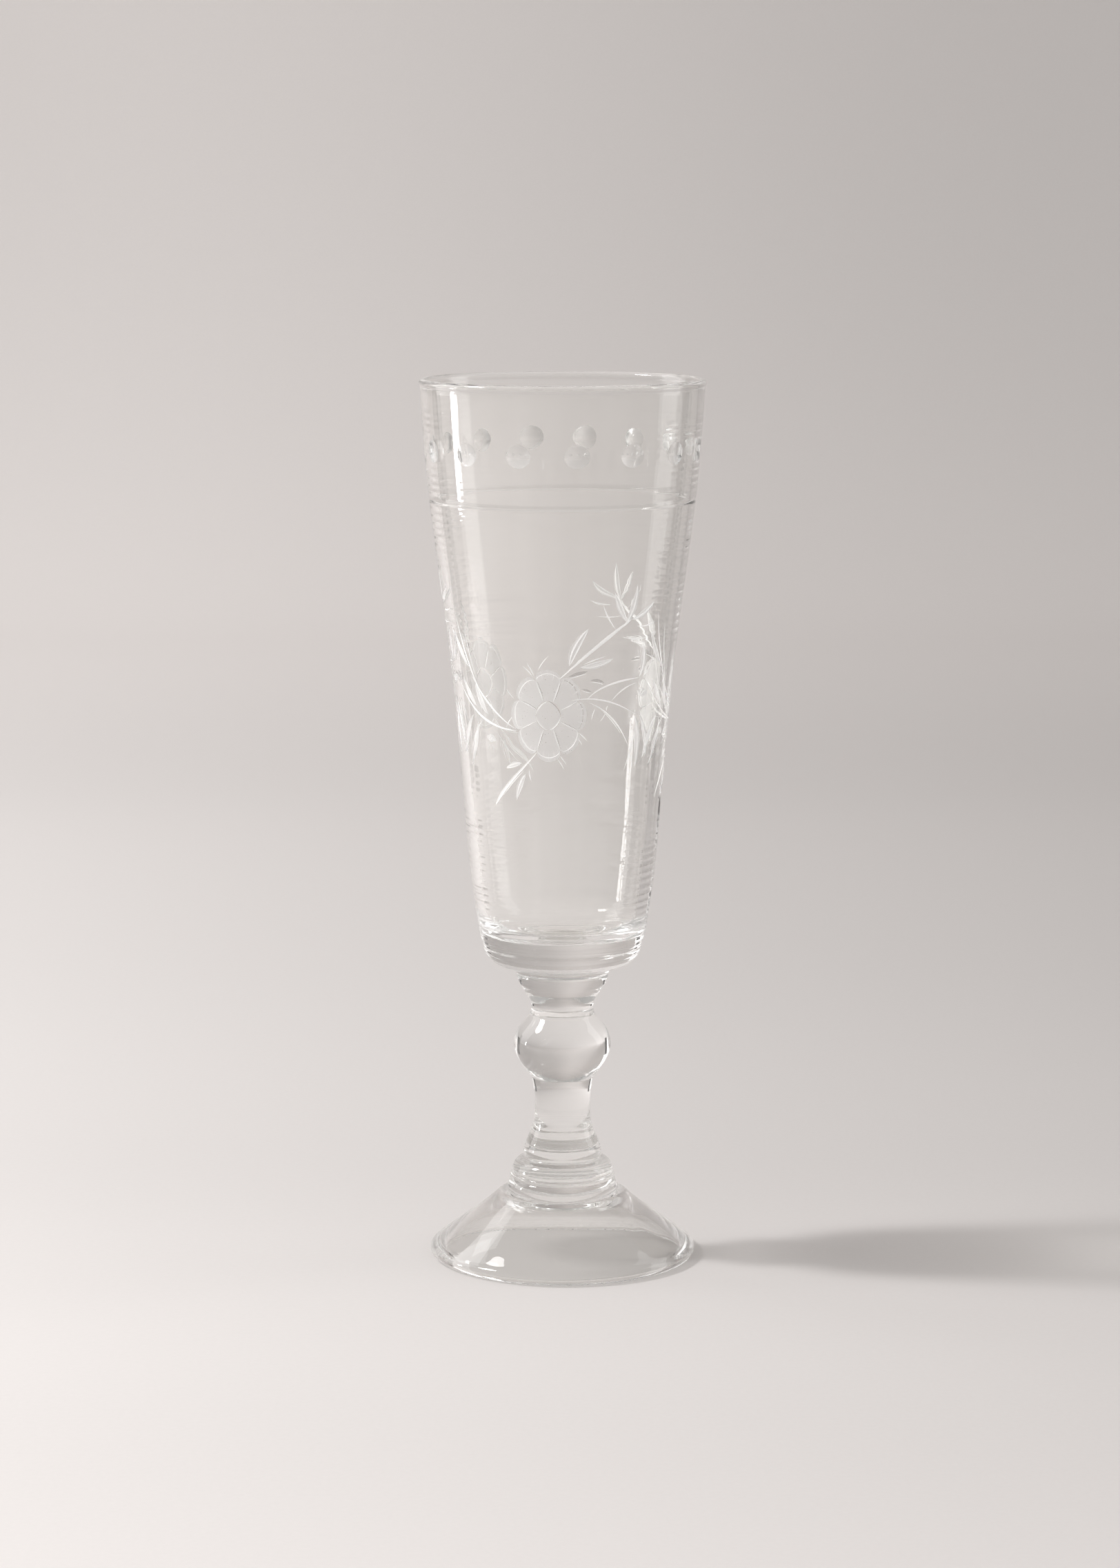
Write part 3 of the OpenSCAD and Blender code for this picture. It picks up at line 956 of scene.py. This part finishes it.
def flute():
    """Every gather of glass as its own closed mesh, in the place of its CAD node."""
    ends = {}
    for node in STACK:
        path = outline(node)
        ends[node] = (path[0, 0], path[-1, 0])
    shared = [min(ends[a][1], ends[b][0]) - 0.02 for a, b in zip(STACK[:-1], STACK[1:])]
    for i, node in enumerate(STACK):
        low = shared[i - 1] if i else None
        high = shared[i] if i < len(shared) else None
        cuts = (flower_cuts(), dot_cuts()) if node == "bowl" else ()
        piece = turned(node, low, high, cuts)
        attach(piece, "root")
        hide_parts(node)


flute()


# ---------------------------------------------------------------- stage, lights and camera

def backdrop():
    """A pale paper sweep just under the foot: floor, a wide curve and a wall."""
    far, bend, top, wide, near = 1.1, 0.7, 3.2, 8.0, -8.0
    angles = [math.pi / 2 * i / 24 for i in range(25)]
    arc = [(far + bend * math.sin(a), bend * (1 - math.cos(a))) for a in angles]
    profile = [(near, 0)] + arc + [(far + bend, top)]
    drop = -0.02 * MM
    verts = [(x, y, z + drop) for y, z in profile for x in (-wide, wide)]
    faces = [(2 * i, 2 * i + 1, 2 * i + 3, 2 * i + 2) for i in range(len(profile) - 1)]
    mesh = bpy.data.meshes.new("paper_sweep")
    mesh.from_pydata(verts, [], faces)
    mesh.polygons.foreach_set("use_smooth", [True] * len(faces))
    mesh.materials.append(paper())
    sweep = bpy.data.objects.new("paper_sweep", mesh)
    bpy.context.scene.collection.objects.link(sweep)


def paper():
    """Matt warm-grey paper with the faintest grain. Its tone is painted with light: it drifts with depth as
    the light falls off, and the left is painted brighter than the right, as the light comes from the left.
    """
    mat, node = new_material("paper")
    place = node("SeparateXYZ", Vector=node("TexCoord").outputs["Object"]).outputs
    near, far = PAPER_REACH
    depth = node("MapRange", i0=place["Y"], i1=near, i2=far, i3=0.0, i4=1.0).outputs[0]
    stops = [(at, (tone, tone * 0.955, tone * 0.935)) for at, tone in PAPER_PAINTED_LIGHT]
    painted_depth_light = ramped(node, depth, stops, "EASE")
    smooth = {"interpolation_type": "SMOOTHSTEP"}
    # painted light: the left is brighter and the right darker
    side = node("MapRange", smooth, i0=place["X"], i1=-0.33, i2=0.33, i3=1.12, i4=0.88).outputs[0]
    grain = between(node, noise(node, 900, 4), 0.99, 1.01)
    shade = node("Math", {"operation": "MULTIPLY"}, i0=side, i1=grain).outputs[0]
    tint = node("VectorMath", {"operation": "SCALE"}, i0=painted_depth_light, Scale=shade).outputs[0]
    surface = node("BsdfPrincipled", Base_Color=tint, Roughness=0.95, Specular_IOR_Level=0.1)
    node("OutputMaterial", Surface=surface.outputs[0])
    return mat


def panel(name, azimuth, elevation, distance, size, watts, aim_z):
    """A soft light aimed at a height on the axis. Azimuth 0 is the camera's side and grows to the right."""
    data = bpy.data.lights.new(name, "AREA")
    data.shape = "RECTANGLE" if len(size) == 2 else "DISK"
    data.size = size[0]
    if len(size) == 2:
        data.size_y = size[1]
    data.energy = watts
    light = bpy.data.objects.new(name, data)
    az, el = math.radians(azimuth), math.radians(elevation)
    way = Vector((math.sin(az) * math.cos(el), -math.cos(az) * math.cos(el), math.sin(el)))
    light.location = Vector((0, 0, aim_z)) + way * distance
    light.rotation_euler = way.to_track_quat("Z", "Y").to_euler()
    light.visible_camera = False
    bpy.context.scene.collection.objects.link(light)


def lights():
    """A round key on the left, a low strip beside it, a panel behind, and two tall soft walls of light."""
    panel("key", -90.5, 46, 1.2, (0.3,), 3.4, 0.05)
    panel("key_heart", -90.5, 46, 1.21, (0.12,), 5.8, 0.05)
    panel("left_strip", -98, 0, 0.53, (0.038, 0.085), 0.28, 0.085)
    panel("back_panel", -126, 42, 1.1, (0.32, 0.3), 0.5, 0.02)
    panel("left_wall", -112, 16, 1.5, (0.8, 1.3), 4.5, 0.2)
    panel("right_wall", 102, 16, 1.5, (0.6, 1.3), 3.0, 0.2)


def flag(name, azimuth, distance, size):
    """A black card out of the camera's sight that gives the glass its dark accents."""
    data = bpy.data.meshes.new(name)
    w, h = size[0] / 2, size[1]
    data.from_pydata([(-w, 0, 0), (w, 0, 0), (w, 0, h), (-w, 0, h)], [], [(0, 1, 2, 3)])
    mat, node = new_material(name)
    tint = tinted(node, noise(node, 60), (0.01, 0.01, 0.01), (0.02, 0.02, 0.02))
    node("OutputMaterial", Surface=node("BsdfDiffuse", Color=tint).outputs[0])
    data.materials.append(mat)
    card = bpy.data.objects.new(name, data)
    az = math.radians(azimuth)
    card.location = (distance * math.sin(az), -distance * math.cos(az), 0)
    card.rotation_euler = (0, 0, az)
    card.visible_camera = False
    card.visible_diffuse = False
    card.visible_shadow = False
    bpy.context.scene.collection.objects.link(card)


def flags():
    """One card on each side, behind the flute."""
    flag("left_flag", -123, 0.45, (0.065, 0.15))
    flag("right_flag", 121, 0.45, (0.075, 0.15))


def world():
    """A pale studio room that dims towards its ceiling."""
    made = bpy.data.worlds.new("studio")
    made.use_nodes = True
    tree = made.node_tree
    back = tree.nodes["Background"]
    place = tree.nodes.new("ShaderNodeTexCoord")
    split = tree.nodes.new("ShaderNodeSeparateXYZ")
    fade = tree.nodes.new("ShaderNodeMapRange")
    fade.interpolation_type = "SMOOTHSTEP"
    tree.links.new(place.outputs["Generated"], split.inputs[0])
    tree.links.new(split.outputs["Z"], fade.inputs[0])
    for socket, value in zip(fade.inputs[1:5], (0.02, 0.6, *ROOM)):
        socket.default_value = value
    tree.links.new(fade.outputs[0], back.inputs["Strength"])
    back.inputs["Color"].default_value = (1.0, 0.985, 0.97, 1)
    bpy.context.scene.world = made


def camera():
    """A long lens in front, a little above the rim, that looks slightly down."""
    data = bpy.data.cameras.new("camera")
    data.sensor_width = 36
    data.lens = LENS
    made = bpy.data.objects.new("camera", data)
    made.location = CAMERA_AT
    made.rotation_euler = (math.radians(90 - CAMERA_DOWN), 0, 0)
    bpy.context.scene.collection.objects.link(made)
    bpy.context.scene.camera = made


def light_paths():
    """Enough bounces for light that a wall guides along itself, and no caustics."""
    scene = bpy.context.scene
    scene.cycles.max_bounces = BOUNCES
    scene.cycles.transmission_bounces = BOUNCES
    scene.cycles.glossy_bounces = BOUNCES
    scene.cycles.transparent_max_bounces = SEE_THROUGH
    scene.cycles.caustics_reflective = False
    scene.cycles.caustics_refractive = False
    scene.view_settings.view_transform = "Standard"


backdrop()
lights()
flags()
world()
camera()
light_paths()
